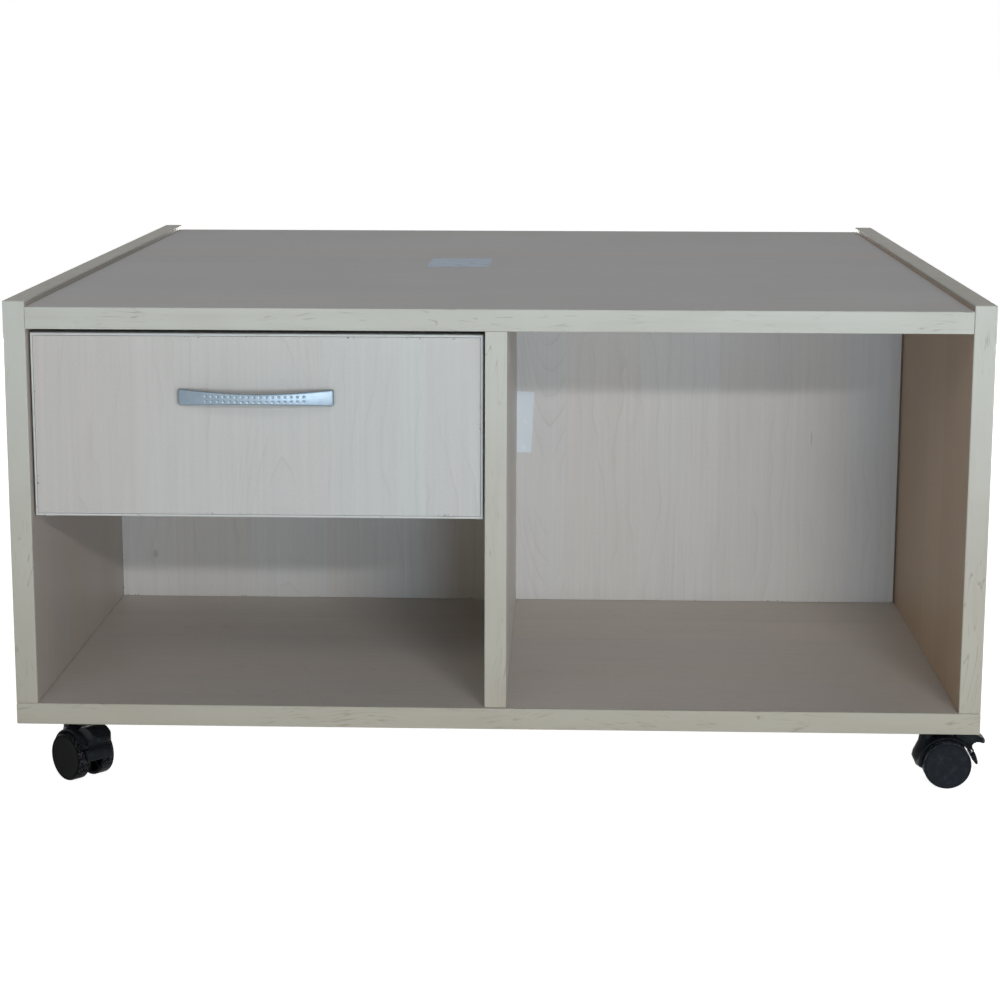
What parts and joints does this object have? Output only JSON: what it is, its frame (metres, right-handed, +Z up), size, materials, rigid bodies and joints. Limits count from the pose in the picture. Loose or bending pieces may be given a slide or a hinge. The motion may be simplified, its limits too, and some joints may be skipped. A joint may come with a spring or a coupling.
{
  "type": "coffee table",
  "caption": "Square low coffee table in pale laminated board, open on both sides, with a drawer, open bays and swivel castors with brakes.",
  "frame": {"origin": "on the floor under the middle of the table", "axes": "+Z up, the drawer's front faces -Y, +X on the right of someone who faces the drawer"},
  "size_m": [0.811, 0.8074, 0.408],
  "materials": {
    "board_laminate": "satin",
    "edging_strip": "satin",
    "drawer_laminate": "satin",
    "fibreboard": "matte",
    "runner_steel": "satin",
    "roller_nylon": "satin",
    "handle_metal": "satin",
    "zinc_steel": "satin",
    "plate_steel": "satin",
    "castor_nylon": "matte",
    "wheel_nylon": "satin"
  },
  "bodies": {
    "carcass": {"bottom_panel": "board_laminate", "bottom_panel_edging": "edging_strip", "top_panel": "board_laminate", "top_panel_front_edging": "edging_strip", "top_panel_rear_edging": "edging_strip", "left_side_panel": "board_laminate", "left_side_edging": "edging_strip", "right_side_panel": "board_laminate", "right_side_edging": "edging_strip", "centre_partition": "board_laminate", "front_divider": "board_laminate", "front_divider_edging": "edging_strip", "front_divider_cam": "zinc_steel", "front_divider_cam_bolt": "zinc_steel", "rear_divider": "board_laminate", "rear_divider_edging": "edging_strip", "rear_divider_cam": "zinc_steel", "rear_divider_cam_bolt": "zinc_steel", "cabinet_runner_left": "runner_steel", "cabinet_runner_right": "runner_steel", "front_left_castor_plate": "plate_steel", "front_right_castor_plate": "plate_steel", "rear_left_castor_plate": "plate_steel", "rear_right_castor_plate": "plate_steel"},
    "drawer": {"drawer_front": "drawer_laminate", "drawer_front_edging": "edging_strip", "drawer_left_side": "drawer_laminate", "drawer_right_side": "drawer_laminate", "drawer_back": "drawer_laminate", "drawer_bottom": "fibreboard", "drawer_handle": "handle_metal", "handle_screw_left": "zinc_steel", "handle_screw_right": "zinc_steel", "drawer_runner_left": "runner_steel", "drawer_runner_right": "runner_steel"},
    "front_left_roller": {"front_roller_left": "roller_nylon"},
    "front_right_roller": {"front_roller_right": "roller_nylon"},
    "rear_left_roller": {"rear_roller_left": "roller_nylon"},
    "rear_right_roller": {"rear_roller_right": "roller_nylon"},
    "front_left_castor": {"front_left_castor_housing": "castor_nylon", "front_left_castor_axle": "zinc_steel"},
    "front_left_castor_wheel_left": {"front_left_castor_wheel_left": "wheel_nylon"},
    "front_left_castor_wheel_right": {"front_left_castor_wheel_right": "wheel_nylon"},
    "front_left_castor_brake": {"front_left_castor_brake_lever": "castor_nylon"},
    "front_right_castor": {"front_right_castor_housing": "castor_nylon", "front_right_castor_axle": "zinc_steel"},
    "front_right_castor_wheel_left": {"front_right_castor_wheel_left": "wheel_nylon"},
    "front_right_castor_wheel_right": {"front_right_castor_wheel_right": "wheel_nylon"},
    "front_right_castor_brake": {"front_right_castor_brake_lever": "castor_nylon"},
    "rear_left_castor": {"rear_left_castor_housing": "castor_nylon", "rear_left_castor_axle": "zinc_steel"},
    "rear_left_castor_wheel_left": {"rear_left_castor_wheel_left": "wheel_nylon"},
    "rear_left_castor_wheel_right": {"rear_left_castor_wheel_right": "wheel_nylon"},
    "rear_right_castor": {"rear_right_castor_housing": "castor_nylon", "rear_right_castor_axle": "zinc_steel"},
    "rear_right_castor_wheel_left": {"rear_right_castor_wheel_left": "wheel_nylon"},
    "rear_right_castor_wheel_right": {"rear_right_castor_wheel_right": "wheel_nylon"}
  },
  "joints": [
    {"name": "drawer_slide", "type": "slide", "parent": "carcass", "child": "drawer", "axis": [0, -1, 0], "range_m": [0, 0.26]},
    {"name": "front_roller_left_spin", "type": "hinge", "parent": "carcass", "child": "front_left_roller", "pos_m": [-0.3765, -0.352, 0.2312], "axis": [1, 0, 0], "continuous": true},
    {"name": "front_roller_right_spin", "type": "hinge", "parent": "carcass", "child": "front_right_roller", "pos_m": [-0.0145, -0.352, 0.2312], "axis": [1, 0, 0], "continuous": true},
    {"name": "rear_roller_left_spin", "type": "hinge", "parent": "drawer", "child": "rear_left_roller", "pos_m": [-0.3755, -0.032, 0.2475], "axis": [1, 0, 0], "continuous": true},
    {"name": "rear_roller_right_spin", "type": "hinge", "parent": "drawer", "child": "rear_right_roller", "pos_m": [-0.0155, -0.032, 0.2475], "axis": [1, 0, 0], "continuous": true},
    {"name": "front_left_castor_swivel", "type": "hinge", "parent": "carcass", "child": "front_left_castor", "pos_m": [-0.3625, -0.3625, 0.045], "axis": [0, 0, 1], "continuous": true},
    {"name": "front_left_castor_wheel_left_spin", "type": "hinge", "parent": "front_left_castor", "child": "front_left_castor_wheel_left", "pos_m": [-0.35105, -0.37295, 0.02], "axis": [0.6743, 0.7385, 0], "continuous": true},
    {"name": "front_left_castor_wheel_right_spin", "type": "hinge", "parent": "front_left_castor", "child": "front_left_castor_wheel_right", "pos_m": [-0.35105, -0.37295, 0.02], "axis": [0.6743, 0.7385, 0], "continuous": true},
    {"name": "front_left_castor_brake_press", "type": "hinge", "parent": "front_left_castor", "child": "front_left_castor_brake", "pos_m": [-0.33649, -0.38625, 0.03185], "axis": [0.6743, 0.7385, 0], "range_deg": [0, 11]},
    {"name": "front_right_castor_swivel", "type": "hinge", "parent": "carcass", "child": "front_right_castor", "pos_m": [0.3625, -0.3625, 0.045], "axis": [0, 0, 1], "continuous": true},
    {"name": "front_right_castor_wheel_left_spin", "type": "hinge", "parent": "front_right_castor", "child": "front_right_castor_wheel_left", "pos_m": [0.378, -0.3625, 0.02], "axis": [0, 1, 0], "continuous": true},
    {"name": "front_right_castor_wheel_right_spin", "type": "hinge", "parent": "front_right_castor", "child": "front_right_castor_wheel_right", "pos_m": [0.378, -0.3625, 0.02], "axis": [0, 1, 0], "continuous": true},
    {"name": "front_right_castor_brake_press", "type": "hinge", "parent": "front_right_castor", "child": "front_right_castor_brake", "pos_m": [0.39771, -0.3625, 0.03185], "axis": [0, 1, 0], "range_deg": [0, 11]},
    {"name": "rear_left_castor_swivel", "type": "hinge", "parent": "carcass", "child": "rear_left_castor", "pos_m": [-0.3625, 0.3625, 0.045], "axis": [0, 0, 1], "continuous": true},
    {"name": "rear_left_castor_wheel_left_spin", "type": "hinge", "parent": "rear_left_castor", "child": "rear_left_castor_wheel_left", "pos_m": [-0.34881, 0.35522, 0.02], "axis": [0.4695, 0.8829, 0], "continuous": true},
    {"name": "rear_left_castor_wheel_right_spin", "type": "hinge", "parent": "rear_left_castor", "child": "rear_left_castor_wheel_right", "pos_m": [-0.34881, 0.35522, 0.02], "axis": [0.4695, 0.8829, 0], "continuous": true},
    {"name": "rear_right_castor_swivel", "type": "hinge", "parent": "carcass", "child": "rear_right_castor", "pos_m": [0.3625, 0.3625, 0.045], "axis": [0, 0, 1], "continuous": true},
    {"name": "rear_right_castor_wheel_left_spin", "type": "hinge", "parent": "rear_right_castor", "child": "rear_right_castor_wheel_left", "pos_m": [0.34845, 0.35595, 0.02], "axis": [0.4226, -0.9063, 0], "continuous": true},
    {"name": "rear_right_castor_wheel_right_spin", "type": "hinge", "parent": "rear_right_castor", "child": "rear_right_castor_wheel_right", "pos_m": [0.34845, 0.35595, 0.02], "axis": [0.4226, -0.9063, 0], "continuous": true}
  ],
  "couplings": [
    {"joint": "front_roller_left_spin", "follows": "drawer_slide", "rad_per_m": 100},
    {"joint": "front_roller_right_spin", "follows": "drawer_slide", "rad_per_m": 100},
    {"joint": "rear_roller_left_spin", "follows": "drawer_slide", "rad_per_m": 100},
    {"joint": "rear_roller_right_spin", "follows": "drawer_slide", "rad_per_m": 100}
  ]
}
